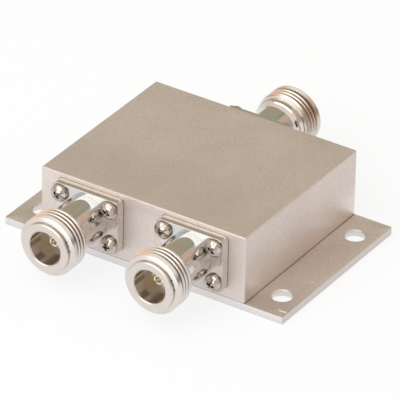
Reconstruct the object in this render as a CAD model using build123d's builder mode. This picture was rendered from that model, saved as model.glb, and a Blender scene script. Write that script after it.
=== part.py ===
from build123d import *
import os

# Two-way coaxial power splitter. A milled housing stands on a mounting plate,
# with two output jacks on its front face and the input jack on its back face.
# The origin is the centre of the plate's underside, Z is up and -Y is the front.

# Housing, a block milled out from below
housing_length = 60.0
housing_depth = 51.2
housing_height = 18.7
side_wall = 5.0
end_wall = 5.5
cavity_corner = 3.0
edge_break = 0.3

# Mounting plate, flush with the housing's front and back, with a wing at each side
wing_length = 11.0
plate_thickness = 2.0
mount_inset = 8.6
mount_hole = 5.2
mount_hole_chamfer = 0.35

# Where the jacks stand: the output jacks' distance from the housing's sides, and the height of all
output_inset = 14.7
jack_height = 11.95

# Jack flange
flange_width = 19.4
flange_height = 15.0
flange_thickness = 2.6
flange_corner = 1.3
flange_edge = 0.3
flange_pitch_x = 14.8
flange_pitch_y = 9.9

# Jack barrel, turned; heights run outwards from the housing's face
neck_diameter = 12.4
neck_height = 11.0
flare_diameter = 13.3
shoulder_height = 12.4
shoulder_diameter = 14.3
thread_diameter = 15.875
thread_start = 13.5
thread_length = 5.2
nose_length = 0.4
nose_diameter = 13.9
lip_diameter = 13.4
lip_length = 1.0
lip_round = 0.35
socket_diameter = 8.9
socket_depth = 9.1
socket_lead_in = 0.2
line_diameter = 7.0
line_length = 1.8
insulator_diameter = 7.8

# Centre contact
collar_height = 5.4
collar_length = 0.8
collar_diameter = 4.0
contact_diameter = 2.9
contact_recess = 4.0
contact_round = 0.25
contact_bore = 1.65
contact_bore_depth = 4.8
slot_width = 0.35
slot_depth = 4.4
pin_diameter = 1.27
pin_overlap = 3.2
guide_diameter = 4.2

# Circuit board, hung under the housing's ceiling with its line side down
board_thickness = 0.8
copper_thickness = 0.1
board_margin = 0.4
board_screw_inset = 4.1

# Divider line: two split rings in a row, then a branch to each output
main_line = 2.2
line_end_margin = 0.3
ring_top = 12.5
ring_radius_1 = 5.0
ring_radius_2 = 4.5
ring_line_1 = 1.0
ring_line_2 = 1.4
ring_gap = 1.6
branch_drop = 2.6

# Isolation resistors and solder
resistor_length = 3.2
resistor_width = 1.6
resistor_thickness = 0.6
solder_width = 2.0
solder_cover = 0.15
solder_length = 2.4

# Flange screws, pan head; a screw's length is measured under the head
flange_screw_head = 4.7
flange_screw_head_height = 1.9
flange_screw_head_side = 0.8
flange_screw_head_round = 0.5
flange_screw_thread = 2.5
flange_screw_length = 6.6
flange_screw_cross = 2.8
flange_screw_cross_width = 0.7
flange_screw_cross_depth = 1.1

# Board screws, pan head
board_screw_head = 3.8
board_screw_head_height = 1.4
board_screw_head_side = 0.6
board_screw_head_round = 0.35
board_screw_thread = 2.0
board_screw_length = 4.0
board_screw_cross = 2.1
board_screw_cross_width = 0.55
board_screw_cross_depth = 0.8

# Plate screws, countersunk; their length includes the head
plate_screw_head = 4.7
plate_screw_thread = 2.5
plate_screw_length = 7.0
plate_screw_cross = 2.4
plate_screw_cross_width = 0.6
plate_screw_cross_depth = 1.0
plate_screw_inset = 3.0
countersink_angle = 90

# Draft of the cross recess in every screw head
recess_taper = 8

# Clearances, on the radius
thread_clearance = 0.02
seat_clearance = 0.02
hole_clearance = 0.1
flange_hole_clearance = 0.15
tap_spare = 0.8

# Places that follow from the sizes above
plate_length = housing_length + 2 * wing_length
output_pitch = housing_length - 2 * output_inset
mount_pitch_x = housing_length + wing_length
mount_pitch_y = housing_depth - 2 * mount_inset
front_face = housing_depth / 2
cavity_length = housing_length - 2 * side_wall
cavity_depth = housing_depth - 2 * end_wall
board_length = cavity_length - 2 * board_margin
board_depth = cavity_depth - 2 * board_margin
line_bottom = jack_height + pin_diameter / 2
board_bottom = line_bottom + copper_thickness
board_top = board_bottom + board_thickness
ceiling = board_top + copper_thickness
thread_end = thread_start + thread_length
nose_height = thread_end + nose_length
jack_reach = nose_height + lip_length
socket_floor = jack_reach - socket_depth
insulator_seat = socket_floor - line_length
collar_end = collar_height + collar_length
line_end = board_depth / 2 - line_end_margin
ring_middle_1 = ring_top - ring_radius_1
ring_joint = ring_middle_1 - ring_radius_1
ring_middle_2 = ring_joint - ring_radius_2
ring_bottom = ring_middle_2 - ring_radius_2

# Seat of each jack: the plane on the housing's face, its Z pointing out of the housing
seats = {
    "output_1": Plane((-output_pitch / 2, -front_face, jack_height), (1, 0, 0), (0, -1, 0)),
    "output_2": Plane((output_pitch / 2, -front_face, jack_height), (1, 0, 0), (0, -1, 0)),
    "input": Plane((0, front_face, jack_height), (-1, 0, 0), (0, 1, 0)),
}
upside_down = (180, 0, 0)


def flange_points():
    return GridLocations(flange_pitch_x, flange_pitch_y, 2, 2)


def board_points():
    pitch_x = board_length - 2 * board_screw_inset
    pitch_y = board_depth - 2 * board_screw_inset
    return GridLocations(pitch_x, pitch_y, 2, 2)


def plate_points():
    pitch_x = housing_length - 2 * plate_screw_inset
    pitch_y = housing_depth / 2 - plate_screw_inset
    return GridLocations(pitch_x, pitch_y, 2, 3)


# Base plate: a mounting hole in each end of the wings, countersunk holes under the housing
def make_base_plate():
    with BuildPart() as plate:
        with BuildSketch():
            Rectangle(plate_length, housing_depth)
        extrude(amount=plate_thickness)
        fillet(plate.edges().filter_by(Axis.Z), radius=edge_break)
        with Locations(Plane.XY.offset(plate_thickness)):
            with GridLocations(mount_pitch_x, mount_pitch_y, 2, 2):
                Hole(radius=mount_hole / 2, depth=plate_thickness)
        chamfer(plate.edges().filter_by(GeomType.CIRCLE).filter_by(
            lambda edge: abs(edge.radius - mount_hole / 2) < 1e-6
        ), length=mount_hole_chamfer)
        with Locations(Plane.XY.rotated(upside_down)):
            with plate_points():
                CounterSinkHole(
                    radius=plate_screw_thread / 2 + hole_clearance,
                    counter_sink_radius=plate_screw_head / 2 + hole_clearance,
                    depth=plate_thickness,
                    counter_sink_angle=countersink_angle,
                )
    return plate.part


# Housing: one milled pocket, with guide bores and tapped holes in its walls
def make_housing():
    with BuildPart() as housing:
        with BuildSketch(Plane.XY.offset(plate_thickness)):
            Rectangle(housing_length, housing_depth)
        extrude(amount=housing_height)
        fillet(housing.edges().filter_by(Axis.Z), radius=edge_break)
        chamfer(housing.faces().sort_by(Axis.Z)[-1].edges(), length=edge_break)
        with BuildSketch(Plane.XY.offset(plate_thickness)):
            RectangleRounded(cavity_length, cavity_depth, cavity_corner)
        extrude(amount=ceiling - plate_thickness, mode=Mode.SUBTRACT)
        with Locations(*seats.values()):
            Hole(radius=guide_diameter / 2 + seat_clearance, depth=end_wall)
            with flange_points():
                Hole(
                    radius=flange_screw_thread / 2 + thread_clearance,
                    depth=flange_screw_length - flange_thickness + tap_spare,
                )
        with Locations(Plane.XY.offset(plate_thickness).rotated(upside_down)):
            with plate_points():
                Hole(
                    radius=plate_screw_thread / 2 + thread_clearance,
                    depth=plate_screw_length - plate_thickness + tap_spare,
                )
        with Locations(Plane.XY.offset(ceiling).rotated(upside_down)):
            with board_points():
                Hole(
                    radius=board_screw_thread / 2 + thread_clearance,
                    depth=board_screw_length - (ceiling - board_bottom) + tap_spare,
                )
    return housing.part


# Jack body: a rounded flange and a turned barrel in one piece, its bore stepped inside
def make_jack_body():
    with BuildPart() as body:
        with BuildSketch():
            RectangleRounded(flange_width, flange_height, flange_corner)
        extrude(amount=flange_thickness)
        fillet(body.faces().sort_by(Axis.Z)[-1].edges(), radius=flange_edge)
        with BuildSketch(Plane.XZ):
            with BuildLine():
                neck = Polyline((0, 0), (neck_diameter / 2, 0), (neck_diameter / 2, neck_height))
                flare = TangentArc(
                    neck @ 1, (flare_diameter / 2, shoulder_height), tangent=(0, 1)
                )
                head = Polyline(
                    flare @ 1,
                    (shoulder_diameter / 2, shoulder_height),
                    (thread_diameter / 2, thread_start),
                    (thread_diameter / 2, thread_end),
                    (nose_diameter / 2, nose_height),
                    (lip_diameter / 2, nose_height),
                    (lip_diameter / 2, jack_reach),
                    (0, jack_reach),
                )
                Line(head @ 1, neck @ 0)
            make_face()
        revolve(axis=Axis.Z)
        fillet(body.faces().sort_by(Axis.Z)[-1].edges(), radius=lip_round)
        with BuildSketch(Plane.XZ):
            with BuildLine():
                Polyline(
                    (0, 0),
                    (insulator_diameter / 2, 0),
                    (insulator_diameter / 2, insulator_seat),
                    (line_diameter / 2, insulator_seat),
                    (line_diameter / 2, socket_floor),
                    (socket_diameter / 2, socket_floor),
                    (socket_diameter / 2, jack_reach - socket_lead_in),
                    (socket_diameter / 2 + socket_lead_in, jack_reach),
                    (0, jack_reach),
                    close=True,
                )
            make_face()
        revolve(axis=Axis.Z, mode=Mode.SUBTRACT)
        with Locations(Plane.XY.offset(flange_thickness)):
            with flange_points():
                Hole(
                    radius=flange_screw_thread / 2 + flange_hole_clearance,
                    depth=flange_thickness,
                )
    return body.part


# Rear insulator: fills the barrel behind the collar and guides the pin through the wall
def make_rear_insulator():
    with BuildPart() as insulator:
        with BuildSketch():
            Circle(insulator_diameter / 2 - seat_clearance)
        extrude(amount=collar_height)
        with BuildSketch():
            Circle(guide_diameter / 2)
        extrude(amount=-end_wall)
        with Locations(Plane.XY.offset(collar_height)):
            Hole(radius=pin_diameter / 2 + seat_clearance, depth=collar_height + end_wall)
    return insulator.part


# Front insulator: a bead between the collar and the step inside the barrel
def make_front_insulator():
    with BuildPart() as insulator:
        with BuildSketch(Plane.XY.offset(collar_end)):
            Circle(insulator_diameter / 2 - seat_clearance)
            Circle(contact_diameter / 2 + seat_clearance, mode=Mode.SUBTRACT)
        extrude(amount=insulator_seat - collar_end)
    return insulator.part


# Centre contact: a socket with four spring fingers, a collar and a long solder pin
def make_contact():
    tip = jack_reach - contact_recess
    pin_end = -end_wall - pin_overlap
    with BuildPart() as contact:
        with BuildSketch(Plane.XZ):
            with BuildLine():
                Polyline(
                    (0, pin_end),
                    (pin_diameter / 2, pin_end),
                    (pin_diameter / 2, collar_height),
                    (collar_diameter / 2, collar_height),
                    (collar_diameter / 2, collar_end),
                    (contact_diameter / 2, collar_end),
                    (contact_diameter / 2, tip),
                    (0, tip),
                    close=True,
                )
            make_face()
        revolve(axis=Axis.Z)
        fillet(contact.faces().sort_by(Axis.Z)[-1].edges(), radius=contact_round)
        with Locations(Plane.XY.offset(tip)):
            Hole(radius=contact_bore / 2, depth=contact_bore_depth)
        with BuildSketch(Plane.XY.offset(tip)):
            for turn in (45, 135):
                Rectangle(contact_diameter, slot_width, rotation=turn)
        extrude(amount=-slot_depth, mode=Mode.SUBTRACT)
    return contact.part


# Outline shared by the board and its ground copper
def board_sheet(bottom, thickness):
    with BuildPart() as sheet:
        with BuildSketch(Plane.XY.offset(bottom)):
            RectangleRounded(board_length, board_depth, cavity_corner - board_margin)
            with board_points():
                Circle(board_screw_thread / 2 + hole_clearance, mode=Mode.SUBTRACT)
        extrude(amount=thickness)
    return sheet.part


# Divider line: an input strip, two rings split by a gap, and a mitred strip to each output
def make_divider_line():
    rings = (
        (ring_middle_1, ring_radius_1, ring_line_1),
        (ring_middle_2, ring_radius_2, ring_line_2),
    )
    gap_top = ring_joint + ring_line_1
    gap_bottom = ring_bottom - ring_line_2
    branch_start = (ring_gap + main_line) / 2
    branch_level = ring_bottom - branch_drop
    mitre = main_line / 2
    with BuildPart() as line:
        with BuildSketch(Plane.XY.offset(line_bottom)):
            for middle, radius, width in rings:
                with Locations((0, middle)):
                    Circle(radius + width / 2)
            for middle, radius, width in rings:
                with Locations((0, middle)):
                    Circle(radius - width / 2, mode=Mode.SUBTRACT)
            with Locations((0, (gap_top + gap_bottom) / 2)):
                Rectangle(ring_gap, gap_top - gap_bottom, mode=Mode.SUBTRACT)
            with Locations((0, (ring_top + line_end) / 2)):
                Rectangle(main_line, line_end - ring_top)
            with BuildLine() as branch:
                Polyline(
                    (branch_start, ring_bottom),
                    (branch_start, branch_level + mitre),
                    (branch_start + mitre, branch_level),
                    (output_pitch / 2 - mitre, branch_level),
                    (output_pitch / 2, branch_level - mitre),
                    (output_pitch / 2, -line_end),
                )
                mirror(about=Plane.YZ)
            trace(branch.line, line_width=main_line)
        extrude(amount=copper_thickness)
    return line.part


# Isolation resistors: one chip across the gap at the end of each ring
def make_resistors():
    with BuildPart() as resistors:
        with BuildSketch(Plane.XY.offset(line_bottom)):
            with Locations((0, ring_joint), (0, ring_bottom)):
                Rectangle(resistor_length, resistor_width)
        extrude(amount=-resistor_thickness)
    return resistors.part


# Solder joint: wraps the pin and meets the line above it
def make_solder_joint():
    pin_radius = pin_diameter / 2
    with BuildPart() as solder:
        with BuildSketch(Plane.XY.offset(-end_wall - pin_overlap)):
            with BuildLine():
                outside = ThreePointArc(
                    (-solder_width / 2, pin_radius),
                    (0, -pin_radius - solder_cover),
                    (solder_width / 2, pin_radius),
                )
                Line(outside @ 1, outside @ 0)
            make_face()
            Circle(pin_radius + seat_clearance, mode=Mode.SUBTRACT)
        extrude(amount=solder_length)
    return solder.part


# Cross recess: what is cut away below its origin, narrower with depth
def make_cross(span, width, depth):
    with BuildPart() as cross:
        with BuildSketch():
            for turn in (0, 90):
                Rectangle(span, width, rotation=turn)
        extrude(amount=-depth, taper=recess_taper)
    return cross.part


# Pan head screw: seated at its origin, with a crowned head rounded at its rim
def make_pan_screw(head, height, side, rounding, thread, length, cross):
    with BuildPart() as screw:
        with BuildSketch(Plane.XZ) as profile:
            with BuildLine():
                rim = Polyline(
                    (0, -length),
                    (thread / 2, -length),
                    (thread / 2, 0),
                    (head / 2, 0),
                    (head / 2, side),
                )
                crown = TangentArc((0, height), rim @ 1, tangent=(1, 0))
                Line(crown @ 0, rim @ 0)
            make_face()
            fillet(profile.vertices().group_by(Axis.X)[-1].sort_by(Axis.Y)[-1], radius=rounding)
        revolve(axis=Axis.Z)
        with Locations((0, 0, height)):
            add(cross, mode=Mode.SUBTRACT)
    return screw.part


# Screw that holds a jack's flange
def make_flange_screw():
    return make_pan_screw(
        flange_screw_head,
        flange_screw_head_height,
        flange_screw_head_side,
        flange_screw_head_round,
        flange_screw_thread,
        flange_screw_length,
        make_cross(flange_screw_cross, flange_screw_cross_width, flange_screw_cross_depth),
    )


# Screw that holds the circuit board
def make_board_screw():
    return make_pan_screw(
        board_screw_head,
        board_screw_head_height,
        board_screw_head_side,
        board_screw_head_round,
        board_screw_thread,
        board_screw_length,
        make_cross(board_screw_cross, board_screw_cross_width, board_screw_cross_depth),
    )


# Screw that holds the plate: countersunk, its flat head level with its origin
def make_plate_screw():
    with BuildPart() as screw:
        with BuildSketch(Plane.XZ):
            with BuildLine():
                Polyline(
                    (0, 0),
                    (plate_screw_head / 2, 0),
                    (plate_screw_thread / 2, (plate_screw_thread - plate_screw_head) / 2),
                    (plate_screw_thread / 2, -plate_screw_length),
                    (0, -plate_screw_length),
                    close=True,
                )
            make_face()
        revolve(axis=Axis.Z)
        add(
            make_cross(plate_screw_cross, plate_screw_cross_width, plate_screw_cross_depth),
            mode=Mode.SUBTRACT,
        )
    return screw.part


# One copy of a piece, or a group of copies, moved from its own frame to its places
def place(piece, places):
    with BuildPart() as placed:
        with places:
            add(piece)
    return placed.part


def save(piece, name):
    piece.label = name
    export_step(piece, f"parts/{name}.step")


os.makedirs("parts", exist_ok=True)

save(make_base_plate(), "base_plate")
save(make_housing(), "housing")
save(board_sheet(board_bottom, board_thickness), "circuit_board")
save(board_sheet(board_top, copper_thickness), "ground_plane")
save(make_divider_line(), "divider_line")
save(make_resistors(), "isolation_resistors")

jack_pieces = {
    "body": make_jack_body(),
    "rear_insulator": make_rear_insulator(),
    "front_insulator": make_front_insulator(),
    "contact": make_contact(),
}
for jack, seat in seats.items():
    for piece_name, piece in jack_pieces.items():
        save(place(piece, Locations(seat)), f"{jack}_{piece_name}")

save(place(make_solder_joint(), Locations(*seats.values())), "solder_joints")

with Locations(*(seat.offset(flange_thickness) for seat in seats.values())):
    save(place(make_flange_screw(), flange_points()), "flange_screws")

with Locations(Plane.XY.offset(board_bottom).rotated(upside_down)):
    save(place(make_board_screw(), board_points()), "board_screws")

with Locations(Plane.XY.rotated(upside_down)):
    save(place(make_plate_screw(), plate_points()), "plate_screws")
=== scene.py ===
from math import atan2, cos, pi, radians, sin

import bpy
from mathutils import Matrix, Vector


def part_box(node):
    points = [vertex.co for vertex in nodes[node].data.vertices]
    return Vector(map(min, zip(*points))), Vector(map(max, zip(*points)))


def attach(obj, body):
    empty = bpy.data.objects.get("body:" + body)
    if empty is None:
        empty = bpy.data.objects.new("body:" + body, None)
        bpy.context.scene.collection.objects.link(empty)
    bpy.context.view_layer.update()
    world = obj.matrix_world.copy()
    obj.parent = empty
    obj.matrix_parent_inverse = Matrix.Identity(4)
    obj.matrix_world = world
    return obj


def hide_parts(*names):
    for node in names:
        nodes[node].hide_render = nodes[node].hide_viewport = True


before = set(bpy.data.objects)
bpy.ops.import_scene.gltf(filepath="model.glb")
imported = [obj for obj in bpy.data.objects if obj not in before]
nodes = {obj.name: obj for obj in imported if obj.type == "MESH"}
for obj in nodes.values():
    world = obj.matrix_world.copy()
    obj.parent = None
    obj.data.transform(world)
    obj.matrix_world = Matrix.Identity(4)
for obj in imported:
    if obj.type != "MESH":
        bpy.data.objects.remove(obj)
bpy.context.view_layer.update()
mm = 0.001
print("frame loaded:", len(nodes), "nodes")


def deselectAll():
    if bpy.context.mode != "OBJECT":
        bpy.ops.object.mode_set(mode="OBJECT")
    bpy.ops.object.select_all(action="DESELECT")


def activate(piece):
    deselectAll()
    piece.select_set(True)
    bpy.context.view_layer.objects.active = piece


def editMode(piece, kind):
    activate(piece)
    bpy.ops.object.mode_set(mode="EDIT")
    bpy.ops.mesh.select_mode(type=kind)


def objectMode():
    bpy.ops.object.mode_set(mode="OBJECT")


# picks faces, edges or vertices by a test on their middle, in edit mode
def pick(piece, kind, test):
    bpy.ops.mesh.select_mode(type=kind)
    bpy.ops.mesh.select_all(action="DESELECT")
    objectMode()
    mesh = piece.data
    points = mesh.vertices
    if kind == "FACE":
        for face in mesh.polygons:
            face.select = test(face.center)
    elif kind == "EDGE":
        for edge in mesh.edges:
            edge.select = test((points[edge.vertices[0]].co + points[edge.vertices[1]].co) / 2)
    else:
        for point in points:
            point.select = test(point.co)
    bpy.ops.object.mode_set(mode="EDIT")


def applyModifiers(piece):
    activate(piece)
    for modifier in list(piece.modifiers):
        bpy.ops.object.modifier_apply(modifier=modifier.name)


def cut(piece, tool, operation="DIFFERENCE"):
    modifier = piece.modifiers.new("cut", "BOOLEAN")
    modifier.operation = operation
    modifier.solver = "EXACT"
    modifier.object = tool
    applyModifiers(piece)
    bpy.data.objects.remove(tool)


def roundEdges(piece, width, segments, angle=30):
    modifier = piece.modifiers.new("rounding", "BEVEL")
    modifier.width = width * mm
    modifier.segments = segments
    modifier.limit_method = "ANGLE"
    modifier.angle_limit = radians(angle)
    applyModifiers(piece)


def smooth(piece, angle=32):
    activate(piece)
    bpy.ops.object.shade_smooth_by_angle(angle=radians(angle))


def settle(piece):
    activate(piece)
    bpy.ops.object.transform_apply(location=True, rotation=True, scale=True)


def copyOf(piece, name):
    twin = piece.copy()
    twin.data = piece.data.copy()
    twin.name = name
    twin.data.name = name
    bpy.context.scene.collection.objects.link(twin)
    return twin


# a block over the origin, with its lower face at a height, in millimetres
def block(name, size, low):
    deselectAll()
    bpy.ops.mesh.primitive_cube_add(size=1, location=(0, 0, (low + size[2] / 2) * mm))
    piece = bpy.context.object
    piece.name = name
    piece.scale = [side * mm for side in size]
    settle(piece)
    return piece


def rod(name, radius, low, high, middle, sides):
    deselectAll()
    bpy.ops.mesh.primitive_cylinder_add(
        vertices=sides, radius=radius * mm, depth=(high - low) * mm,
        location=(middle[0] * mm, middle[1] * mm, (low + high) / 2 * mm),
    )
    piece = bpy.context.object
    piece.name = name
    settle(piece)
    return piece


# points of an arc from one angle to another, as (radius, height)
def arcPoints(middle, radius, start, end, count):
    turns = [radians(start + (end - start) * step / count) for step in range(count + 1)]
    return [(middle[0] + radius * cos(turn), middle[1] + radius * sin(turn)) for turn in turns]


# draws a profile of (radius, height) points and spins it round Z
def turned(name, profile, sides):
    deselectAll()
    bpy.ops.mesh.primitive_plane_add(size=mm)
    piece = bpy.context.object
    piece.name = name
    bpy.ops.object.mode_set(mode="EDIT")
    bpy.ops.mesh.select_mode(type="VERT")
    bpy.ops.mesh.select_all(action="SELECT")
    bpy.ops.mesh.merge(type="CENTER")
    bpy.ops.transform.translate(value=(profile[0][0] * mm, 0, profile[0][1] * mm))
    for before, after in zip(profile, profile[1:]):
        step = ((after[0] - before[0]) * mm, 0, (after[1] - before[1]) * mm)
        bpy.ops.mesh.extrude_vertices_move(TRANSFORM_OT_translate={"value": step})
    bpy.ops.mesh.select_all(action="SELECT")
    bpy.ops.mesh.spin(steps=sides, angle=2 * pi, center=(0, 0, 0), axis=(0, 0, 1))
    bpy.ops.mesh.select_all(action="SELECT")
    bpy.ops.mesh.remove_doubles(threshold=0.002 * mm)
    bpy.ops.mesh.normals_make_consistent(inside=False)
    objectMode()
    return piece


def dress(piece, finish, slotName, *replaced):
    piece.data.materials.clear()
    piece.data.materials.append(finish)
    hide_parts(*replaced)
    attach(piece, "root")


# a merged copy of a CAD node, with its sharp edges softened
def softened(nodeName, pieceName, width, segments=2, angle=30):
    deselectAll()
    piece = copyOf(nodes[nodeName], pieceName)
    for key in [key for key in piece.keys() if key.startswith("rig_")]:
        del piece[key]
    piece.parent = None
    piece.hide_render = False
    editMode(piece, "VERT")
    bpy.ops.mesh.select_all(action="SELECT")
    bpy.ops.mesh.remove_doubles(threshold=0.001 * mm)
    objectMode()
    if width:
        roundEdges(piece, width, segments, angle)
    smooth(piece)
    return piece


def plug(tree, slot, value):
    if isinstance(value, Wire):
        tree.links.new(value.socket, slot)
    elif slot.type == "RGBA":
        slot.default_value = (*value, 1)
    else:
        slot.default_value = value


# any node: its type, its settings, the values or links of its inputs
def addNode(tree, kind, settings=None, inputs=None, output=0):
    node = tree.nodes.new(kind)
    for name, value in (settings or {}).items():
        setattr(node, name, value)
    for name, value in (inputs or {}).items():
        plug(tree, node.inputs[name], value)
    return Wire(tree, node.outputs[output]) if len(node.outputs) else node


# one output socket: sums and products on it add Math nodes
class Wire:
    def __init__(self, tree, socket):
        self.tree = tree
        self.socket = socket

    def math(self, operation, *values):
        return addNode(
            self.tree, "ShaderNodeMath", {"operation": operation}, dict(enumerate(values)),
        )

    def __add__(self, other):
        return self.math("ADD", self, other)

    def __radd__(self, other):
        return self.math("ADD", other, self)

    def __sub__(self, other):
        return self.math("SUBTRACT", self, other)

    def __rsub__(self, other):
        return self.math("SUBTRACT", other, self)

    def __mul__(self, other):
        return self.math("MULTIPLY", self, other)

    def __rmul__(self, other):
        return self.math("MULTIPLY", other, self)

    def __truediv__(self, other):
        return self.math("DIVIDE", self, other)

    def __rtruediv__(self, other):
        return self.math("DIVIDE", other, self)

    def root(self):
        return self.math("SQRT", self)

    def size(self):
        return self.math("ABSOLUTE", self)

    def wave(self):
        return self.math("SINE", self)

    def least(self, other):
        return self.math("MINIMUM", self, other)

    def most(self, other):
        return self.math("MAXIMUM", self, other)

    # 0 below low, 1 above high
    def between(self, low, high):
        return addNode(
            self.tree, "ShaderNodeMapRange", {"interpolation_type": "SMOOTHSTEP"},
            {"Value": self, "From Min": low, "From Max": high},
        )

    # 1 below low, 0 above high
    def under(self, low, high):
        return 1 - self.between(low, high)

    # 1 from low to high, with soft ends
    def within(self, low, high, soft):
        return self.between(low - soft, low) * self.under(high, high + soft)


class Finish:
    def __init__(self, name):
        self.material = bpy.data.materials.new(name)
        self.material.use_nodes = True
        self.tree = self.material.node_tree
        self.tree.nodes.clear()
        self.place = self.node("ShaderNodeTexCoord", output="Object")

    def node(self, kind, settings=None, inputs=None, output=0):
        return addNode(self.tree, kind, settings, inputs, output)

    # the place on the piece as three wires
    def axes(self, place=None):
        inputs = {"Vector": place or self.place}
        return [self.node("ShaderNodeSeparateXYZ", inputs=inputs, output=axis) for axis in "XYZ"]

    # noise with a grain of that many millimetres
    def noise(self, grain, detail=2.0, roughness=0.5, place=None, offset=0.0):
        spot = place or self.place
        if offset:
            shift = (offset, offset, offset)
            spot = self.node("ShaderNodeVectorMath", {"operation": "ADD"}, {0: spot, 1: shift})
        return self.node("ShaderNodeTexNoise", inputs={
            "Vector": spot, "Scale": 1 / (grain * mm), "Detail": detail, "Roughness": roughness,
        })

    # a Mix node takes colours at its sockets 6 and 7 and gives one at 2
    def blend(self, factor, first, second):
        settings = {"data_type": "RGBA", "clamp_factor": True}
        return self.node("ShaderNodeMix", settings, {0: factor, 6: first, 7: second}, output=2)

    def bump(self, height, distance, strength=1.0):
        return self.node("ShaderNodeBump", inputs={
            "Height": height, "Distance": distance * mm, "Strength": strength,
        })

    def close(self, shade, rough, relief, metal=0.0, subsurface=0.0):
        shader = self.node("ShaderNodeBsdfPrincipled", inputs={
            "Base Color": shade, "Roughness": rough, "Normal": relief,
            "Metallic": metal, "Subsurface Weight": subsurface,
        })
        self.node("ShaderNodeOutputMaterial", inputs={"Surface": shader})
        return self.material


cameraView = {
    "azimuth": 32.411, "elevation": 31.351, "roll": 1.283,  # degrees
    "across": 0.412, "up": 7.207, "away": 1346.634,  # millimetres
    "focal": 5386.1, "frame": 400, "sensor": 36.0,  # pixels, pixels, millimetres
    "near": 0.05, "far": 50,  # metres
}


def makeCamera(view):
    az, el, roll = (radians(view[name]) for name in ("azimuth", "elevation", "roll"))
    back = Vector((sin(az) * cos(el), -cos(az) * cos(el), sin(el)))
    level = (-back).cross(Vector((0, 0, 1))).normalized()
    upward = level.cross(-back)
    right = cos(roll) * level + sin(roll) * upward
    above = cos(roll) * upward - sin(roll) * level
    eye = (right * view["across"] + above * view["up"] + back * view["away"]) * mm
    turn = Matrix((right, above, back)).transposed().to_4x4()
    data = bpy.data.cameras.new("camera")
    data.sensor_width = view["sensor"]
    data.lens = view["focal"] / view["frame"] * view["sensor"]
    data.clip_start = view["near"]
    data.clip_end = view["far"]
    camera = bpy.data.objects.new("camera", data)
    bpy.context.scene.collection.objects.link(camera)
    camera.matrix_world = Matrix.Translation(eye) @ turn
    bpy.context.scene.camera = camera


makeCamera(cameraView)

studio = {
    "floorSize": 8.0,  # metres
    "floorDrop": 0.01,  # millimetres under the plate
    "floorShade": (0.20, 0.205, 0.22),
    "floorLift": 0.80,  # what the camera and reflections add to the floor
    "level": 0.92,
    # the air's colours, and the heights on the unit sphere between which the roof takes over
    "horizon": (1.0, 0.985, 0.97), "roof": (0.94, 0.875, 0.785), "roofFrom": (0.05, 0.40),
    # the screen behind the box: its first colour, then where each next one takes over
    "screenStart": (0.52, 0.465, 0.345),
    "screen": [
        ((-0.10, 0.12), (0.42, 0.465, 0.375)),
        ((0.19, 0.24), (0.80, 0.60, 0.475)),
        ((0.48, 0.56), (0.62, 0.53, 0.46)),
    ],
    "screenDepth": (0.50, 0.56), "screenFoot": (0.02, 0.12), "screenTop": (0.76, 0.84),
    # the dark screen to the right
    "umber": (0.13, 0.10, 0.08),
    "umberFrom": (0.66, 0.74), "umberReach": (-0.50, 0.10, 0.08), "umberTop": (0.36, 0.44),
}


def makeFloor():
    deselectAll()
    low = (0, 0, -studio["floorDrop"] * mm)
    bpy.ops.mesh.primitive_plane_add(size=studio["floorSize"], location=low)
    floor = bpy.context.object
    floor.name = "floor"
    settle(floor)
    paper = Finish("paperFloor")
    camera, glossy, through = [
        paper.node("ShaderNodeLightPath", output=f"Is {ray} Ray")
        for ray in ("Camera", "Glossy", "Transmission")
    ]
    seen = camera.most(glossy).most(through)
    matt = paper.node("ShaderNodeBsdfDiffuse", inputs={"Color": studio["floorShade"]})
    glow = paper.node("ShaderNodeEmission", inputs={
        "Color": (1.0, 1.0, 1.0), "Strength": seen * studio["floorLift"],
    })
    both = paper.node("ShaderNodeAddShader", inputs={0: matt, 1: glow})
    paper.node("ShaderNodeOutputMaterial", inputs={"Surface": both})
    floor.data.materials.append(paper.material)


makeFloor()


class Sky(Finish):
    def __init__(self):
        world = bpy.data.worlds.new("studio")
        bpy.context.scene.world = world
        world.use_nodes = True
        self.tree = world.node_tree
        self.tree.nodes.clear()


# a pale warm roof over a white horizon, a screen behind the box and a dark one to the right
def makeSky():
    sky = Sky()
    direction = sky.node("ShaderNodeTexCoord", output="Generated")
    across, along, height = sky.axes(direction)
    screen = studio["screenStart"]
    for reach, colour in studio["screen"]:
        screen = sky.blend(across.between(*reach), screen, colour)
    behind = along.between(*studio["screenDepth"]) * height.between(*studio["screenFoot"])
    behind = behind * height.under(*studio["screenTop"])
    aside = across.between(*studio["umberFrom"]) * along.within(*studio["umberReach"])
    aside = aside * height.under(*studio["umberTop"])
    air = sky.blend(height.between(*studio["roofFrom"]), studio["horizon"], studio["roof"])
    colour = sky.blend(aside, sky.blend(behind, air, screen), studio["umber"])
    light = sky.node("ShaderNodeBackground", inputs={
        "Color": colour, "Strength": studio["level"],
    })
    sky.node("ShaderNodeOutputWorld", inputs={"Surface": light})


makeSky()

# places and sizes in metres, power in watts
lamps = [
    {
        "name": "keyLamp", "place": (-0.44, -1.74, 1.58), "size": (2.8, 1.6),
        "power": 18.5, "shade": (0.97, 0.985, 1.0),
    },
    {
        "name": "frontLamp", "place": (-0.30, -1.95, 0.40), "size": (1.2, 0.6),
        "power": 6, "shade": (0.96, 0.98, 1.0),
    },
]


def makeLamp(name, place, size, power, shade):
    data = bpy.data.lights.new(name, "AREA")
    data.shape = "RECTANGLE"
    data.size, data.size_y = size
    data.energy = power
    data.color = shade
    lamp = bpy.data.objects.new(name, data)
    lamp.location = place
    lamp.rotation_euler = (-Vector(place)).to_track_quat("-Z", "Y").to_euler()
    bpy.context.scene.collection.objects.link(lamp)


for lamp in lamps:
    makeLamp(**lamp)

bpy.context.scene.view_settings.view_transform = "Standard"
print("camera, floor and light are set")


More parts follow.
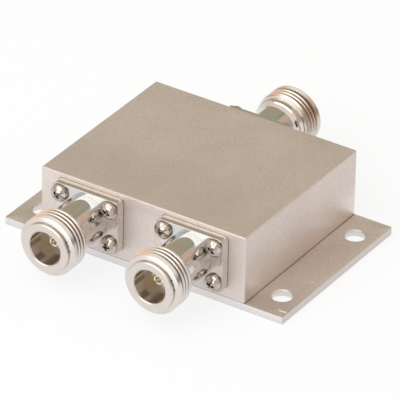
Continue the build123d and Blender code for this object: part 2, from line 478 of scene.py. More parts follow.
# satin nickel plate over blasted metal: a fine sparkle, faint clouds and a soft sheen
satinLook = {
    "clouds": 14.0, "grain": 0.42, "fine": 0.16,  # sizes in millimetres
    "cloudShade": 0.5, "grainShade": 1.6,  # how strongly each moves the shade
    "rough": 0.56, "grainRough": 0.22, "cloudRough": 0.06,
    "markPolish": 0.12,  # a mark's share of less roughness
    "bumpHeight": 0.012, "bumpStrength": 0.45, "fineShare": 0.4,
}


def satinNickel(name, pale, deep, marks, scratches=()):
    look = satinLook
    finish = Finish(name)
    clouds = finish.noise(look["clouds"], 3.0, 0.55)
    grain = finish.noise(look["grain"], 2.0, 0.6)
    fine = finish.noise(look["fine"], 1.0, 0.5, offset=0.31)
    contrast = (clouds - 0.5) * look["cloudShade"] + (grain - 0.5) * look["grainShade"]
    shade = finish.blend(contrast + 0.5, deep, pale)
    rough = (grain - 0.5) * look["grainRough"] + (clouds - 0.5) * look["cloudRough"] + look["rough"]
    for mark, colour, strength in marks:
        spot = mark(finish)
        shade = finish.blend(spot * strength, shade, colour)
        rough = rough - spot * look["markPolish"]
    metal = 1.0
    for mark, colour, strength in scratches:
        spot = mark(finish)
        shade = finish.blend(spot * strength, shade, colour)
        metal = metal - spot * strength
    height = grain * (1 - look["fineShare"]) + fine * look["fineShare"]
    relief = finish.bump(height, look["bumpHeight"], look["bumpStrength"])
    return finish.close(shade, rough, relief, metal)


# a pale, dull scratch from one point to another on a level face, in millimetres
def scratch(start, end, width):
    reach = Vector(end) - Vector(start)
    length = reach.length
    ahead = reach / length

    def mask(finish):
        x, y, z = finish.axes()
        right, up = x / mm - start[0], y / mm - start[1]
        along = right * ahead[0] + up * ahead[1]
        aside = up * ahead[0] - right * ahead[1]
        wobble = (finish.noise(1.2, 1.0) - 0.5) * width * 2.0
        line = (aside + wobble).size().under(width * 0.3, width)
        return line * along.within(0.15, length - 0.15, 0.15)
    return mask


# a jack's own axes in its finish: millimetres right, up and out from where its axis meets the box
def jackAxes(finish, spot, outward):
    x, y, z = finish.axes()
    return (x - spot.x) / mm, (z - spot.z) / mm, (y - spot.y) * (outward / mm)


# distance from the nearest of a flange's four screws, in millimetres
def fromScrew(right, up, shape):
    aside = right.size() - shape["screwPitch"][0] / 2
    above = up.size() - shape["screwPitch"][1] / 2
    return (aside * aside + above * above).root()


# a soft round mark about a point in a jack's own axes, in millimetres
def blot(axes, middle, size):
    x, y, z = [axis - centre for axis, centre in zip(axes, middle)]
    return (x * x + y * y + z * z).root().under(size * 0.3, size)


# how far a place round a jack's axis lies towards a turn in degrees: 1 there, -1 opposite
def towards(axes, turn):
    right, up, out = axes
    reach = right * cos(radians(turn)) + up * sin(radians(turn))
    return reach / (right * right + up * up).root()


# a soft stripe along a barrel: its turn and half width in degrees, where it starts and ends
def stripe(axes, turn, half, low, high):
    core = towards(axes, turn).between(cos(radians(half)), 1.0)
    return core * core * axes[2].within(low, high, 1.2)


# bright nickel on turned brass: a polished neck, a duller head with brown dirt and painted shade in
# its grooves a dull bore, and painted highlights, reflections and shade; heights and sizes in
# millimetres, turns in degrees, the rest in shares
brightLook = {
    "smudge": 3.5, "speck": 0.30, "streak": 0.75, "streakStretch": (1.0, 0.04, 1.0),
    "smudgeShade": 0.5, "streakShade": 2.0, "baseShade": 0.25,
    "neck": ((0.63, 0.59, 0.54), (0.765, 0.715, 0.685)),
    "head": ((0.70, 0.64, 0.595), (0.78, 0.725, 0.68)), "headShare": 0.9,
    "bore": ((0.80, 0.71, 0.63), (0.94, 0.86, 0.78)), "boreFrom": (8, 9),
    "roofSheen": (0.93, 0.905, 0.87), "roofSheenShare": 0.75, "roofSheenTurn": 60, "filletShare": 0.6,
    "roofSheenReach": (0.55, 0.95),
    "glare": (0.67, 0.675, 0.675), "glareShare": 0.8, "glareEnd": 5.5, "glareSoft": 2.5,
    "glareReach": (0.3, 0.8),
    "face": (0.50, 0.435, 0.395), "faceShadeShare": 0.5, "faceShadeFrom": (1.5, 9.0),
    "grimeAndShade": (0.235, 0.17, 0.125), "grimeAndShadeShare": 0.85,
    "threadGrimeAndShade": (13.7, 18.3), "stepShade": (18.98, 19.55), "screwShadow": (2.2, 3.2),
    "stepTurn": 65, "stepShare": (0.14, 0.62),  # all round, and more at that turn
    "seamShare": 0.7, "screwShare": 0.45, "ringShare": 0.4,
    "rough": 0.10, "headRough": 0.20, "boreRough": 0.18, "smudgeRough": 0.05, "speckRough": 0.05,
    "speckHeight": 0.0014, "turningHeight": 0.00012, "turningPitch": 0.11,
}


# where the metal is darkened: dirt with painted shade in the thread grooves, painted shade at the
# step before the lip, heaviest at the top, dark seams, a painted shadow round the screws and a dark
# line in the neck's groove
def jackGrimeAndShade(axes, radius, outside, shape):
    look = brightLook
    right, up, out = axes
    face = shape["flange"][2]
    thread = radius.under(shape["crest"] - 0.45, shape["crest"] - 0.18)
    thread = thread * out.within(*look["threadGrimeAndShade"], 0.1) * outside
    upper = towards(axes, look["stepTurn"]).between(0.2, 0.7)
    step = radius.under(shape["lip"] + 0.02, shape["lip"] + 0.12)
    step = step * out.within(*look["stepShade"], 0.12) * outside
    seam = out.under(0.08, 0.20)
    screws = fromScrew(right, up, shape).under(*look["screwShadow"])
    screws = screws * out.within(face - 0.1, face + 0.1, 0.1)
    ring = (out - shape["grooveHeight"]).within(-0.03, 0.03, 0.05)
    ring = ring * radius.under(shape["neck"] + 0.05, shape["neck"] + 0.15)
    grimeAndShade = thread.most(step * (upper * look["stepShare"][1] + look["stepShare"][0]))
    grimeAndShade = grimeAndShade.most(seam * look["seamShare"]).most(screws * look["screwShare"])
    return grimeAndShade.most(ring * look["ringShare"])


def brightNickel(name, spot, outward, shape, marks):
    look = brightLook
    finish = Finish(name)
    axes = jackAxes(finish, spot, outward)
    right, up, out = axes
    radius = (right * right + up * up).root()
    smudge = finish.noise(look["smudge"], 3.0, 0.6)
    speck = finish.noise(look["speck"], 2.0, 0.6)
    stretched = finish.node(
        "ShaderNodeVectorMath", {"operation": "MULTIPLY"},
        {0: finish.place, 1: look["streakStretch"]},
    )
    streak = finish.noise(look["streak"], 2.0, 0.6, place=stretched)
    face, shoulder = shape["flange"][2], shape["shoulderHeight"]
    head = out.between(shoulder - 0.2, shoulder + 0.3)
    bore = radius.under(shape["socket"] + 0.02, shape["socket"] + 0.12)
    bore = bore * out.between(*look["boreFrom"])
    outside = 1 - bore

    contrast = smudge * look["smudgeShade"] + (streak - 0.5) * look["streakShade"]
    shade = finish.blend(contrast + look["baseShade"], *look["neck"])
    shade = finish.blend(head * look["headShare"], shade, finish.blend(smudge, *look["head"]))

    # facets that tilt to the roof are painted brighter than the rest of the turned metal: a painted
    # highlight
    upward = towards(axes, look["roofSheenTurn"]).between(*look["roofSheenReach"])
    fillet = out.within(shape["neckEnd"] + 0.4, shoulder - 1.2, 0.2) * look["filletShare"]
    cone = out.within(shoulder + 0.1, shape["threadStart"], 0.1)
    nose = out.within(shape["landStart"] + 0.5, shape["noseHeight"], 0.1)
    roofSheen = fillet.most(cone).most(nose) * upward * outside
    shade = finish.blend(roofSheen * look["roofSheenShare"], shade, look["roofSheen"])
    glare = out.within(face + 0.1, look["glareEnd"], look["glareSoft"])
    glare = glare * towards(axes, 90).between(*look["glareReach"])
    shade = finish.blend(glare * look["glareShare"], shade, look["glare"])

    # the outside stripes are painted reflections, orange and brown, on the head
    for place, colour, strength in marks["outside"]:
        stainAndReflection = stripe(axes, *place) * outside * (smudge * 0.6 + 0.7)
        shade = finish.blend(stainAndReflection * strength, shade, colour)
    # the bore is painted a paler nickel, a painted light in its shade, and its stripes are painted
    # reflections, highlights and shade
    shade = finish.blend(bore, shade, finish.blend(smudge, *look["bore"]))
    for place, colour, strength in marks["bore"]:
        shade = finish.blend(stripe(axes, *place) * bore * strength, shade, colour)
    # the flange's face is painted darker towards its lower right: a painted dark reflection
    front = out.within(face - 0.02, face + 0.02, 0.06)
    front = front * (right - up * 0.5).between(*look["faceShadeFrom"])
    shade = finish.blend(front * look["faceShadeShare"], shade, look["face"])
    grimeAndShade = jackGrimeAndShade(axes, radius, outside, shape)
    shade = finish.blend(grimeAndShade * look["grimeAndShadeShare"], shade, look["grimeAndShade"])
    for middle, size, colour, strength in marks["spots"]:
        shade = finish.blend(blot(axes, middle, size) * strength, shade, colour)

    rough = head * look["headRough"] + bore * look["boreRough"] + look["rough"]
    rough = rough + (smudge - 0.5) * look["smudgeRough"] + (speck - 0.5) * look["speckRough"]
    turning = (radius / look["turningPitch"]).wave()
    land = shape["threadEnd"] - shape["landStart"]
    fall = (out - shape["landStart"]).most(0).least(land) * outside
    height = speck * look["speckHeight"] + turning * look["turningHeight"]
    relief = finish.bump(height - fall * shape["landFall"], 1.0)
    return finish.close(shade, rough, relief, metal=1.0)


# the same nickel on steel screws, with painted shade in the cross and under the rim
screwLook = {
    "smudge": 1.1, "nickel": ((0.27, 0.22, 0.18), (0.72, 0.66, 0.61)), "smudgeShade": 1.5,
    "cross": (0.20, 0.15, 0.11), "crossShadeShare": 0.70, "crossReach": (1.5, 1.7),
    "fleck": 0.42, "fleckReach": (0.38, 0.60),
    "crownFall": 0.163,  # the crown's drop over the square of its radius
    "foot": (0.17, 0.125, 0.09), "footShadeShare": 0.65, "footReach": (0.12, 0.45),
    "rough": 0.13, "smudgeRough": 0.12, "bumpHeight": 0.03, "bumpStrength": 0.6,
}


def screwNickel(name, spot=None, outward=0, shape=None):
    look = screwLook
    finish = Finish(name)
    smudge = finish.noise(look["smudge"], 3.0, 0.6)
    shade = finish.blend((smudge - 0.5) * look["smudgeShade"] + 0.5, *look["nickel"])
    if spot:
        right, up, out = jackAxes(finish, spot, outward)
        radius = fromScrew(right, up, shape)
        face = shape["flange"][2]
        crown = face + shape["screwCrown"]
        # painted shade in the cross recess, broken by pale flecks, and under the head's rim
        sunk = (out + radius * radius * look["crownFall"]).under(crown - 0.25, crown - 0.10)
        sunk = sunk * radius.under(*look["crossReach"])
        foot = out.under(face + look["footReach"][0], face + look["footReach"][1])
        fleck = finish.noise(look["fleck"], 2.0, 0.6, offset=0.7).between(*look["fleckReach"])
        shade = finish.blend(sunk * fleck * look["crossShadeShare"], shade, look["cross"])
        shade = finish.blend(foot * look["footShadeShare"], shade, look["foot"])
    rough = (smudge - 0.5) * look["smudgeRough"] + look["rough"]
    relief = finish.bump(smudge, look["bumpHeight"], look["bumpStrength"])
    return finish.close(shade, rough, relief, metal=1.0)


# the finishes below: grain sizes and bump heights in millimetres, the rest in shares
goldLook = {
    "smudge": 0.8, "gold": ((0.88, 0.80, 0.65), (0.95, 0.91, 0.82)),
    "rough": 0.26, "smudgeRough": 0.08, "bumpHeight": 0.01, "bumpStrength": 0.4,
}


def paleGold(name):
    look = goldLook
    finish = Finish(name)
    smudge = finish.noise(look["smudge"], 3.0, 0.6)
    shade = finish.blend(smudge, *look["gold"])
    rough = look["rough"] + (smudge - 0.5) * look["smudgeRough"]
    relief = finish.bump(smudge, look["bumpHeight"], look["bumpStrength"])
    return finish.close(shade, rough, relief, metal=1.0)


plasticLook = {
    "cloud": 1.6, "white": ((0.72, 0.70, 0.64), (0.86, 0.85, 0.80)), "subsurface": 0.05,
    "rough": 0.42, "cloudRough": 0.1, "bumpHeight": 0.02, "bumpStrength": 0.4,
}


def whitePlastic(name):
    look = plasticLook
    finish = Finish(name)
    cloud = finish.noise(look["cloud"], 3.0, 0.6)
    shade = finish.blend(cloud, *look["white"])
    rough = look["rough"] + (cloud - 0.5) * look["cloudRough"]
    relief = finish.bump(cloud, look["bumpHeight"], look["bumpStrength"])
    return finish.close(shade, rough, relief, subsurface=look["subsurface"])


# woven laminate: the glass cloth shows as a fine square weave
boardLook = {
    "thread": 0.16, "cloud": 5.0, "weaveShare": 0.6,
    "laminate": ((0.52, 0.47, 0.34), (0.72, 0.68, 0.55)),
    "rough": 0.48, "weaveRough": 0.1, "bumpHeight": 0.02, "bumpStrength": 0.5,
}


def wovenBoard(name):
    look = boardLook
    finish = Finish(name)
    x, y, z = finish.axes()
    thread = look["thread"] * mm
    weave = (x / thread).wave() * (y / thread).wave() * 0.25 + 0.5
    cloud = finish.noise(look["cloud"], 3.0, 0.6)
    mix = weave * look["weaveShare"] + cloud * (1 - look["weaveShare"])
    shade = finish.blend(mix, *look["laminate"])
    rough = look["rough"] + (weave - 0.5) * look["weaveRough"]
    relief = finish.bump(weave, look["bumpHeight"], look["bumpStrength"])
    return finish.close(shade, rough, relief)


copperLook = {
    "stainAndReflection": 4.0, "grain": 0.25, "copper": ((0.62, 0.30, 0.17), (0.85, 0.50, 0.36)),
    "rough": 0.30, "grainRough": 0.2, "stainRough": 0.15,
    "bumpHeight": 0.006, "bumpStrength": 0.5,
}


def etchedCopper(name):
    look = copperLook
    finish = Finish(name)
    stainAndReflection = finish.noise(look["stainAndReflection"], 4.0, 0.65)
    grain = finish.noise(look["grain"], 2.0, 0.6)
    shade = finish.blend(stainAndReflection, *look["copper"])
    rough = look["rough"] + (grain - 0.5) * look["grainRough"] + (stainAndReflection - 0.5) * look["stainRough"]
    relief = finish.bump(grain, look["bumpHeight"], look["bumpStrength"])
    return finish.close(shade, rough, relief, metal=1.0)


# chip resistor: dark glaze between tinned end caps
chipLook = {
    "capFrom": 1.2, "capSoft": 0.05, "grain": 0.2,
    "glaze": ((0.02, 0.02, 0.022), (0.05, 0.05, 0.055)),
    "tin": ((0.60, 0.60, 0.60), (0.75, 0.75, 0.74)),
    "rough": 0.28, "grainRough": 0.15, "bumpHeight": 0.01, "bumpStrength": 0.4,
}


def chipGlaze(name):
    look = chipLook
    finish = Finish(name)
    x, y, z = finish.axes()
    cap = x.size().between(look["capFrom"] * mm, (look["capFrom"] + look["capSoft"]) * mm)
    grain = finish.noise(look["grain"], 2.0, 0.6)
    glaze = finish.blend(grain, *look["glaze"])
    tin = finish.blend(grain, *look["tin"])
    shade = finish.blend(cap, glaze, tin)
    rough = look["rough"] + grain * look["grainRough"]
    relief = finish.bump(grain, look["bumpHeight"], look["bumpStrength"])
    return finish.close(shade, rough, relief, metal=cap)


solderLook = {
    "ripple": 0.7, "tin": ((0.60, 0.61, 0.61), (0.80, 0.80, 0.79)),
    "rough": 0.22, "rippleRough": 0.2, "bumpHeight": 0.05, "bumpStrength": 0.6,
}


def tinSolder(name):
    look = solderLook
    finish = Finish(name)
    ripple = finish.noise(look["ripple"], 3.0, 0.6)
    shade = finish.blend(ripple, *look["tin"])
    rough = look["rough"] + (ripple - 0.5) * look["rippleRough"]
    relief = finish.bump(ripple, look["bumpHeight"], look["bumpStrength"])
    return finish.close(shade, rough, relief, metal=1.0)


# a dark line on an upright wall round a flange with rounded corners, in millimetres
def flangeSeam(middle, size, corner, wall):
    def mask(finish):
        x, y, z = finish.axes()
        aside = ((x / mm - middle[0]).size() - (size[0] / 2 - corner)).most(0)
        above = ((z / mm - middle[1]).size() - (size[1] / 2 - corner)).most(0)
        distance = (aside * aside + above * above).root() - corner
        return distance.under(0.03, 0.16) * (y / mm - wall).size().under(0.1, 0.3)
    return mask


# a dark line along the foot of the box
def footSeam(height):
    def mask(finish):
        x, y, z = finish.axes()
        return (z / mm - height).under(0.05, 0.20)
    return mask


# the same line on the plate beside it
def wallSeam(reach, top):
    def mask(finish):
        x, y, z = finish.axes()
        beside = ((x / mm).size() - reach).within(-0.10, 0.04, 0.14)
        return beside * (z / mm).between(top - 0.10, top - 0.02)
    return mask


# the plate's sawn rim along one axis: its tone is partly the rim's own and partly painted light,
# paler on the front rim and darker on the side rim
def plateRim(axis, reach, top):
    def mask(finish):
        axes = finish.axes()
        rim = ((axes[axis] / mm).size() - reach).between(-0.12, -0.04)
        return rim * (axes[2] / mm).under(top - 0.20, top - 0.10)
    return mask


# the walls of the plate's holes, painted pale: painted light inside holes that lie in shade
def litHoleWalls(pitch, radius):
    def mask(finish):
        x, y, z = finish.axes()
        aside = (x / mm).size() - pitch[0] / 2
        along = (y / mm).size() - pitch[1] / 2
        return (aside * aside + along * along).root().under(radius + 0.02, radius + 0.10)
    return mask


# a level face painted darker towards the front: painted shade
def shadedFront(far, near, top):
    def mask(finish):
        x, y, z = finish.axes()
        return (y * (-1 / mm)).between(far, near) * (z / mm).between(top - 0.05, top - 0.01)
    return mask


# the right wall's foot, which the plate lights up
def paleFoot(side, low, high):
    def mask(finish):
        x, y, z = finish.axes()
        return (x / mm).between(side - 0.10, side - 0.02) * (z / mm).under(low, high)
    return mask


seamBrown = (0.15, 0.105, 0.075)
frontShadeBrown = (0.60, 0.545, 0.51)
scratchWhite = (0.98, 0.96, 0.92)

boxShape = {
    "edge": 0.10, "segments": 3,
    "front": -25.6, "side": 30.0, "foot": 2.0, "top": 20.7,
    "flange": (19.4, 15.0), "flangeCorner": 1.3, "flangeSpots": [(-15.3, 11.95), (15.3, 11.95)],
    "pale": (0.865, 0.785, 0.745), "deep": (0.625, 0.560, 0.525),
}
boxMarks = [
    (shadedFront(-6.0, 24.0, boxShape["top"]), frontShadeBrown, 0.36),
    (paleFoot(boxShape["side"], 4.0, 13.0), (0.96, 0.89, 0.85), 0.40),
    (footSeam(boxShape["foot"]), seamBrown, 0.80),
]
for spot in boxShape["flangeSpots"]:
    seam = flangeSeam(spot, boxShape["flange"], boxShape["flangeCorner"], boxShape["front"])
    boxMarks.append((seam, seamBrown, 0.60))
boxNickel = satinNickel("boxNickel", boxShape["pale"], boxShape["deep"], boxMarks)
box = softened("housing", "boxShell", boxShape["edge"], boxShape["segments"])
dress(box, boxNickel, "nickel_box", "housing")
print("box is made")


plateShape = {
    "edge": 0.12, "segments": 2,
    "halfWidth": 41.0, "halfDepth": 25.6, "top": 2.0, "holePitch": (71.0, 34.0), "holeRadius": 2.6,
    "pale": (0.895, 0.825, 0.785), "deep": (0.650, 0.590, 0.550),
}
plateMarks = [
    (shadedFront(5.0, 27.0, plateShape["top"]), frontShadeBrown, 0.38),
    (plateRim(1, plateShape["halfDepth"], plateShape["top"]), (0.76, 0.755, 0.77), 0.70),
    (plateRim(0, plateShape["halfWidth"], plateShape["top"]), (0.615, 0.58, 0.565), 0.70),
    (litHoleWalls(plateShape["holePitch"], plateShape["holeRadius"]), (0.76, 0.755, 0.745), 0.70),
    (wallSeam(boxShape["side"], plateShape["top"]), seamBrown, 0.75),
]
plateScratches = [
    (scratch((37.3, -23.25), (38.7, -22.95), 0.20), (0.80, 0.80, 0.72), 0.5),
    (scratch((38.5, -23.15), (40.6, -22.95), 0.34), scratchWhite, 1.0),
    (scratch((38.0, -7.75), (38.55, -7.40), 0.36), scratchWhite, 1.0),
]
plateNickel = satinNickel(
    "plateNickel", plateShape["pale"], plateShape["deep"], plateMarks, plateScratches,
)
plate = softened("base_plate", "mountingPlate", plateShape["edge"], plateShape["segments"])
dress(plate, plateNickel, "nickel_plate", "base_plate")
print("plate is made")


# radii, and heights from the box's face
jackShape = {
    "flange": (19.4, 15.0, 2.6), "corner": 1.3, "cornerSteps": 10,
    "frontEdge": 0.16, "edgeSteps": 8,
    "screwPitch": (14.8, 9.9), "screwHole": 1.4, "screwCrown": 1.9,
    "neck": 6.2, "grooveHeight": 3.0, "grooveWidth": 0.10, "grooveDepth": 0.10,
    "neckEnd": 11.0, "fillet": 2.3, "filletTurn": 34.5, "filletSteps": 10,
    "shoulderHeight": 12.4, "shoulder": 7.15,
    "crest": 7.9375, "threadStart": 13.5, "threadEnd": 18.7,
    "landStart": 17.0, "landFall": 0.55,  # the plain land's slope, which is shading only
    "nose": 6.95, "noseHeight": 19.1, "lip": 6.7, "lipRound": 0.45, "lipSteps": 6, "reach": 20.1,
    "socket": 4.45, "leadIn": 0.3, "socketFloor": 11.0, "line": 3.5, "seat": 9.2, "insulator": 3.9,
    "backGap": 0.02, "flangeBore": 4.6,
    "sides": 240, "holeSides": 40, "boreSides": 60,
}
# the input's neck widens sooner, to a short step behind the head
inputShape = {
    **jackShape,
    "neckEnd": 9.4, "fillet": 2.0, "filletTurn": 53, "shoulderHeight": 12.5, "landFall": -0.40,
}
threadShape = {
    "pitch": 1.24, "depth": 0.74, "rootFlat": 0.08, "crestFlat": 0.30, "clearance": 0.6,
    "from": 11.9, "to": 16.95, "stepsPerTurn": 120, "runOut": 35, "lift": 0.05,
}


def screwSpots(shape):
    across, along = shape["screwPitch"][0] / 2, shape["screwPitch"][1] / 2
    return [(x * across, y * along) for x in (-1, 1) for y in (-1, 1)]


def makeFlange(shape):
    width, height, thickness = shape["flange"]
    flange = block("flange", shape["flange"], 0)
    editMode(flange, "EDGE")
    side, top, tiny = width / 2 * mm, height / 2 * mm, 0.001 * mm
    pick(flange, "EDGE", lambda p: abs(abs(p.x) - side) < tiny and abs(abs(p.y) - top) < tiny)
    bpy.ops.mesh.bevel(offset=shape["corner"] * mm, segments=shape["cornerSteps"])
    pick(flange, "EDGE", lambda p: p.z > (thickness - 0.01) * mm)
    bpy.ops.mesh.bevel(offset=shape["frontEdge"] * mm, segments=shape["edgeSteps"])
    objectMode()
    for x, y in screwSpots(shape):
        hole = rod("hole", shape["screwHole"], -1, thickness + 1, (x, y), shape["holeSides"])
        cut(flange, hole)
    return flange


def makeBarrel(shape):
    groove = shape["grooveHeight"]
    outside = [
        (shape["insulator"], shape["backGap"]),
        (shape["neck"], shape["backGap"]),
        (shape["neck"], groove - shape["grooveWidth"] / 2),
        (shape["neck"] - shape["grooveDepth"], groove),
        (shape["neck"], groove + shape["grooveWidth"] / 2),
        (shape["neck"], shape["neckEnd"]),
    ]
    middle = (shape["neck"] + shape["fillet"], shape["neckEnd"])
    end = 180 - shape["filletTurn"]
    outside += arcPoints(middle, shape["fillet"], 180, end, shape["filletSteps"])[1:]
    outside += [
        (outside[-1][0], shape["shoulderHeight"]),
        (shape["shoulder"], shape["shoulderHeight"]),
        (shape["crest"], shape["threadStart"]),
        (shape["crest"], shape["threadEnd"]),
        (shape["nose"], shape["noseHeight"]),
        (shape["lip"], shape["noseHeight"]),
    ]
    bend = shape["lipRound"]
    middle = (shape["lip"] - bend, shape["reach"] - bend)
    outside += arcPoints(middle, bend, 0, 90, shape["lipSteps"])
    outside += [
        (shape["socket"] + shape["leadIn"], shape["reach"]),
        (shape["socket"], shape["reach"] - shape["leadIn"]),
        (shape["socket"], shape["socketFloor"]),
        (shape["line"], shape["socketFloor"]),
        (shape["line"], shape["seat"]),
        (shape["insulator"], shape["seat"]),
        (shape["insulator"], shape["backGap"]),
    ]
    return turned("barrel", outside, shape["sides"])


# the groove as the tool leaves it: a wedge swept round the barrel, lifted out at its end
def makeThreadTool(shape, thread):
    out = shape["crest"] + thread["clearance"]
    inner = shape["crest"] - thread["depth"]
    slope = (thread["pitch"] - thread["crestFlat"] - thread["rootFlat"]) / 2 / thread["depth"]
    rootHalf = thread["rootFlat"] / 2
    outHalf = rootHalf + slope * (out - inner)
    deselectAll()
    bpy.ops.mesh.primitive_plane_add(size=mm, rotation=(pi / 2, 0, 0))
    tool = bpy.context.object
    tool.name = "threadTool"
    settle(tool)
    bpy.ops.object.mode_set(mode="EDIT")
    middle = (out + inner) / 2 * mm
    bpy.ops.mesh.select_all(action="SELECT")
    bpy.ops.transform.resize(value=(out - inner, 1, 1))
    bpy.ops.transform.translate(value=(middle, 0, thread["from"] * mm))
    pick(tool, "VERT", lambda p: p.x < middle)
    bpy.ops.transform.resize(value=(1, 1, 2 * rootHalf))
    pick(tool, "VERT", lambda p: p.x > middle)
    bpy.ops.transform.resize(value=(1, 1, 2 * outHalf))
    bpy.ops.mesh.select_mode(type="FACE")
    bpy.ops.mesh.select_all(action="SELECT")
    turn = 2 * pi / thread["stepsPerTurn"]
    climb = thread["pitch"] / thread["stepsPerTurn"]
    steps = round((thread["to"] - thread["from"]) / climb)
    lift = (thread["depth"] + thread["lift"]) / thread["runOut"] * mm
    for step in range(1, steps + thread["runOut"] + 1):
        bpy.ops.mesh.extrude_region_move(TRANSFORM_OT_translate={"value": (0, 0, climb * mm)})
        bpy.ops.transform.rotate(
            value=turn, orient_axis="Z", orient_type="GLOBAL", center_override=(0, 0, 0),
        )
        if step > steps:
            angle = step * turn
            bpy.ops.transform.translate(value=(lift * cos(angle), lift * sin(angle), 0))
    bpy.ops.mesh.select_all(action="SELECT")
    bpy.ops.mesh.normals_make_consistent(inside=False)
    objectMode()
    return tool


flangeModel = makeFlange(jackShape)
barrelModels = {}
for kind, shape in (("output", jackShape), ("input", inputShape)):
    barrelModels[kind] = makeBarrel(shape)
    cut(barrelModels[kind], makeThreadTool(shape, threadShape))
    print(kind, "barrel", len(barrelModels[kind].data.polygons), "faces")

boreShadeUmber = (0.38, 0.31, 0.25)
faceReflectionBrown = (0.42, 0.35, 0.30)
nickBrown = (0.26, 0.19, 0.14)
# stripes: (turn, half width, low, high), colour, strength
# spots: middle (right, up, out), size, colour, strength
outputMarks = {
    "outside": [
        # a painted orange reflection on the head's upper left
        ((121, 26, 13.8, 16.6), (0.98, 0.70, 0.52), 0.50),
    ],
    "bore": [
        # painted shade in umber, a painted highlight in white and a painted gold reflection of the
        # contact
        ((158, 24, 12.0, 20.2), boreShadeUmber, 0.95),
        ((174, 8, 12.0, 19.2), (1.00, 0.97, 0.92), 0.95),
        ((188, 14, 16.0, 20.2), boreShadeUmber, 0.75),
        ((220, 26, 12.0, 15.6), (1.00, 0.82, 0.60), 1.00),
        ((237, 20, 17.6, 20.2), boreShadeUmber, 1.00),
        ((285, 38, 15.0, 20.2), boreShadeUmber, 1.00),
    ],
    "spots": [
        # a painted orange reflection on the head, then a painted dark reflection of a screw on the
        # neck
        ((-3.90, 6.85, 17.1), 2.50, (1.00, 0.60, 0.38), 0.80),
        ((5.81, 2.16, 8.64), 0.30, (0.20, 0.14, 0.10), 0.85),
        ((5.90, 3.48, 19.15), 0.40, nickBrown, 0.75),
        ((6.37, 2.51, 19.15), 0.32, nickBrown, 0.60),
        ((6.75, 1.10, 19.12), 0.42, nickBrown, 0.70),
        # painted dark reflections on the flange's face
        ((5.60, -1.00, 2.60), 1.60, faceReflectionBrown, 0.45),
        ((7.30, 0.84, 2.60), 1.70, faceReflectionBrown, 0.45),
        ((9.00, 2.40, 2.60), 1.70, faceReflectionBrown, 0.45),
    ],
}
inputMarks = {
    "outside": [
        # painted orange-brown and brown reflections on the head
        ((120, 26, 13.8, 18.0), (0.78, 0.55, 0.38), 0.85),
        ((37, 40, 13.8, 18.0), (0.55, 0.40, 0.30), 0.80),
    ],
    "bore": [],
    "spots": [],
}
# which way each jack points and how its thread is clocked, in degrees
outputPlace = {
    "turn": 0, "outward": -1, "clock": 21, "kind": "output",
    "shape": jackShape, "marks": outputMarks,
}
inputPlace = {
    "turn": 180, "outward": 1, "clock": 150, "kind": "input",
    "shape": inputShape, "marks": inputMarks,
}
jackPlaces = {"output_1": outputPlace, "output_2": outputPlace, "input": inputPlace}


# where a jack's axis, which its contact lies on, meets the housing's face
def jackSpot(name):
    low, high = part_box(name + "_contact")
    middle = (low + high) / 2
    boxLow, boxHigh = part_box("housing")
    face = boxHigh.y if jackPlaces[name]["outward"] > 0 else boxLow.y
    return Vector((middle.x, face, middle.z))


def seatPiece(piece, name):
    place = jackPlaces[name]
    stand = Matrix.Rotation(radians(90), 4, "X")  # the local Z axis now points to -Y
    face = Matrix.Rotation(radians(place["turn"]), 4, "Z")
    piece.matrix_world = Matrix.Translation(jackSpot(name)) @ face @ stand @ piece.matrix_world
    settle(piece)


contactEdge = {"width": 0.03, "segments": 2, "angle": 40}
contactGold = paleGold("contactGold")
insulatorWhite = whitePlastic("insulatorWhite")
for name, place in jackPlaces.items():
    barrel = copyOf(barrelModels[place["kind"]], "barrel_" + name)
    barrel.matrix_world = Matrix.Rotation(radians(place["clock"]), 4, "Z")
    settle(barrel)
    jack = copyOf(flangeModel, name + "_jack")
    cut(jack, rod("bore", jackShape["flangeBore"], -1, 4, (0, 0), jackShape["boreSides"]))
    cut(jack, barrel, "UNION")
    smooth(jack, 30)
    seatPiece(jack, name)
    finish = brightNickel(
        name + "Nickel", jackSpot(name), place["outward"], place["shape"], place["marks"],
    )
    dress(jack, finish, "nickel_jack", name + "_body")
    contact = softened(name + "_contact", name + "_socket", **contactEdge)
    dress(contact, contactGold, "contact_gold", name + "_contact")
    for part in ("_rear_insulator", "_front_insulator"):
        bead = softened(name + part, name + part.replace("_i", "I"), 0)
        dress(bead, insulatorWhite, "insulator", name + part)
bpy.data.objects.remove(flangeModel)
for barrelModel in barrelModels.values():
    bpy.data.objects.remove(barrelModel)
print("jacks are made")


screwShape = {
    "head": 2.35, "height": 1.9, "side": 0.8, "foot": 0.08,
    "rim": 0.5, "rimDrop": 0.25, "rimTurn": (15, 47), "rimSteps": 3, "crownSteps": 8,
    "thread": 1.25, "length": 6.6, "sides": 48,
    "cross": (3.1, 0.82), "crossFoot": (1.3, 0.40), "crossDepth": 0.85, "crossClearance": 0.5,
    # how far each screw was turned home, in degrees
    "turns": {"output_1": (18, 40, 5, 62), "output_2": (35, 12, 70, 50), "input": (8, 55, 30, 75)},
}


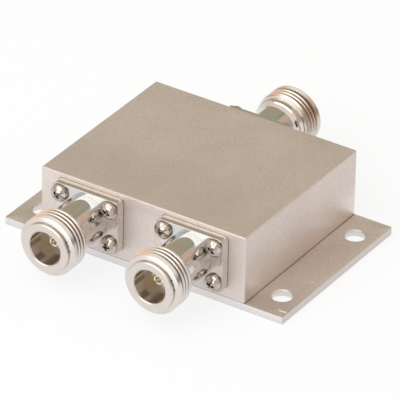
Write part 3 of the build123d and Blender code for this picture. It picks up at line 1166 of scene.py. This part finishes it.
def makeScrew(shape):
    rise = shape["height"] - shape["side"]
    crownRadius = (shape["head"] ** 2 + rise ** 2) / (2 * rise)
    crownMiddle = shape["height"] - crownRadius
    rimHeight = shape["side"] - shape["rimDrop"]
    profile = [
        (0, -shape["length"]),
        (shape["thread"], -shape["length"]),
        (shape["thread"], 0),
        (shape["head"] - shape["foot"], 0),
        (shape["head"], shape["foot"]),
        (shape["head"], rimHeight),
    ]
    middle = (shape["head"] - shape["rim"], rimHeight)
    profile += arcPoints(middle, shape["rim"], *shape["rimTurn"], shape["rimSteps"])
    last = profile[-1]
    start = atan2(last[1] - crownMiddle, last[0])
    for step in range(1, shape["crownSteps"] + 1):
        share = step / shape["crownSteps"]
        turn = start + (pi / 2 - start) * share
        bow = last[0] / cos(start) * (1 - share) + crownRadius * share
        profile.append((max(0, bow * cos(turn)), crownMiddle + bow * sin(turn)))
    profile[-1] = (0, shape["height"])
    screw = turned("screw", profile, shape["sides"])
    span, width = shape["cross"]
    footSpan, footWidth = shape["crossFoot"]
    depth = shape["crossDepth"]
    floor = shape["height"] - depth
    for turn in (0, 90):
        wedge = block("wedge", (span, width, depth + shape["crossClearance"]), floor)
        editMode(wedge, "FACE")
        pick(wedge, "FACE", lambda p: p.z < (floor + 0.01) * mm)
        bpy.ops.transform.resize(value=(footSpan / span, footWidth / width, 1))
        objectMode()
        wedge.matrix_world = Matrix.Rotation(radians(turn), 4, "Z")
        settle(wedge)
        cut(screw, wedge)
    smooth(screw, 30)
    return screw


screwModel = makeScrew(screwShape)
flangeFace = jackShape["flange"][2]
for name, turns in screwShape["turns"].items():
    outward = jackPlaces[name]["outward"]
    finish = screwNickel(name + "ScrewNickel", jackSpot(name), outward, jackShape)
    for number, ((x, y), turn) in enumerate(zip(screwSpots(jackShape), turns)):
        screw = copyOf(screwModel, f"{name}_screw_{number + 1}")
        seat = Matrix.Translation((x * mm, y * mm, flangeFace * mm))
        screw.matrix_world = seat @ Matrix.Rotation(radians(turn), 4, "Z")
        seatPiece(screw, name)
        dress(screw, finish, "screw_steel", "flange_screws")
bpy.data.objects.remove(screwModel)

screwEdge = {"width": 0.04, "segments": 2, "angle": 40}
hiddenSteel = screwNickel("screwNickel")
plateScrews = softened("plate_screws", "plateScrews", **screwEdge)
dress(plateScrews, hiddenSteel, "screw_steel", "plate_screws")
boardScrews = softened("board_screws", "boardScrews", **screwEdge)
dress(boardScrews, hiddenSteel, "screw_steel", "board_screws")
print("screws are made")

copperFoil = etchedCopper("copperFoil")
inside = {
    "circuit_board": wovenBoard("wovenBoard"),
    "ground_plane": copperFoil,
    "divider_line": copperFoil,
    "isolation_resistors": chipGlaze("chipGlaze"),
    "solder_joints": tinSolder("tinSolder"),
}
for nodeName, finish in inside.items():
    nodes[nodeName].data.materials.clear()
    nodes[nodeName].data.materials.append(finish)
print("inner pieces are finished")
